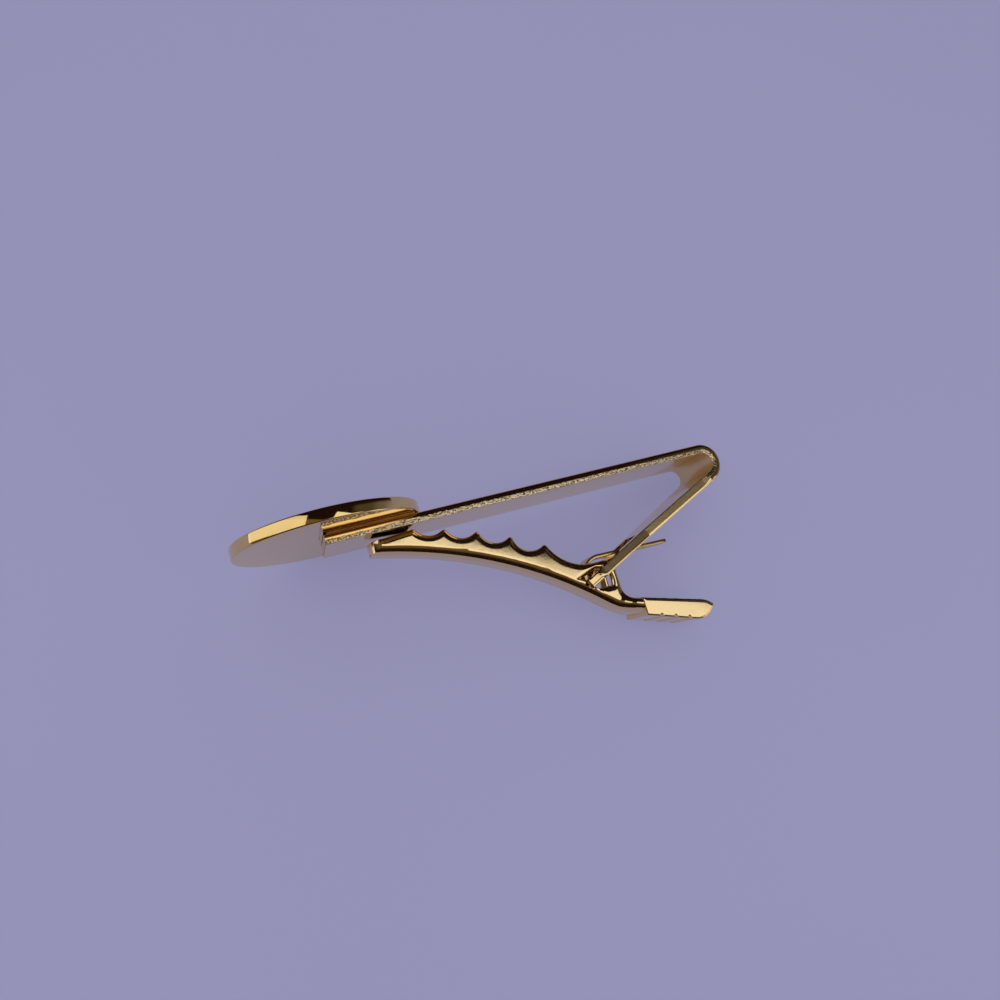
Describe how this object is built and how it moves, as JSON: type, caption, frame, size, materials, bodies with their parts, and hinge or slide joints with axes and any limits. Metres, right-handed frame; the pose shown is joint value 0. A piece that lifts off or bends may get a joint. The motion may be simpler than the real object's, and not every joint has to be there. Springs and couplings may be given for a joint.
{
  "type": "tie clip",
  "caption": "Gold-toned tie clip: a plain round front plate soldered to a folded strip bar, with a sprung toothed lever that opens when its thumb pad is pressed.",
  "frame": {"origin": "centre of the front plate's front face", "axes": "+Y out of the front of the plate, +X along the bar from the plate to the fold, +Z across the width; the part is mirror-symmetric about Z = 0"},
  "size_m": [0.0503, 0.0187, 0.018],
  "materials": {
    "gold_plate": "mirror polished gold plate",
    "solder": "dull solder line",
    "gold_strip": "polished gold plate with raw sheared edges",
    "gold_lever": "polished gold plate",
    "gold_spring": "gold plated spring strip, darker and satin"
  },
  "bodies": {
    "bar": {"front_bar": "gold_strip", "front_disc": "gold_plate", "bond_film": "solder", "leaf_spring": "gold_spring"},
    "jaw": {"lever": "gold_lever"}
  },
  "joints": [
    {"name": "jaw_hinge", "type": "hinge", "parent": "bar", "child": "jaw", "pos_m": [0.02358, -0.01218, 0], "axis": [0, 0, 1], "range_deg": [0, 25], "stiffness_Nm_per_rad": 0.05, "springref_deg": -45.84, "deforming": ["leaf_spring"]}
  ]
}
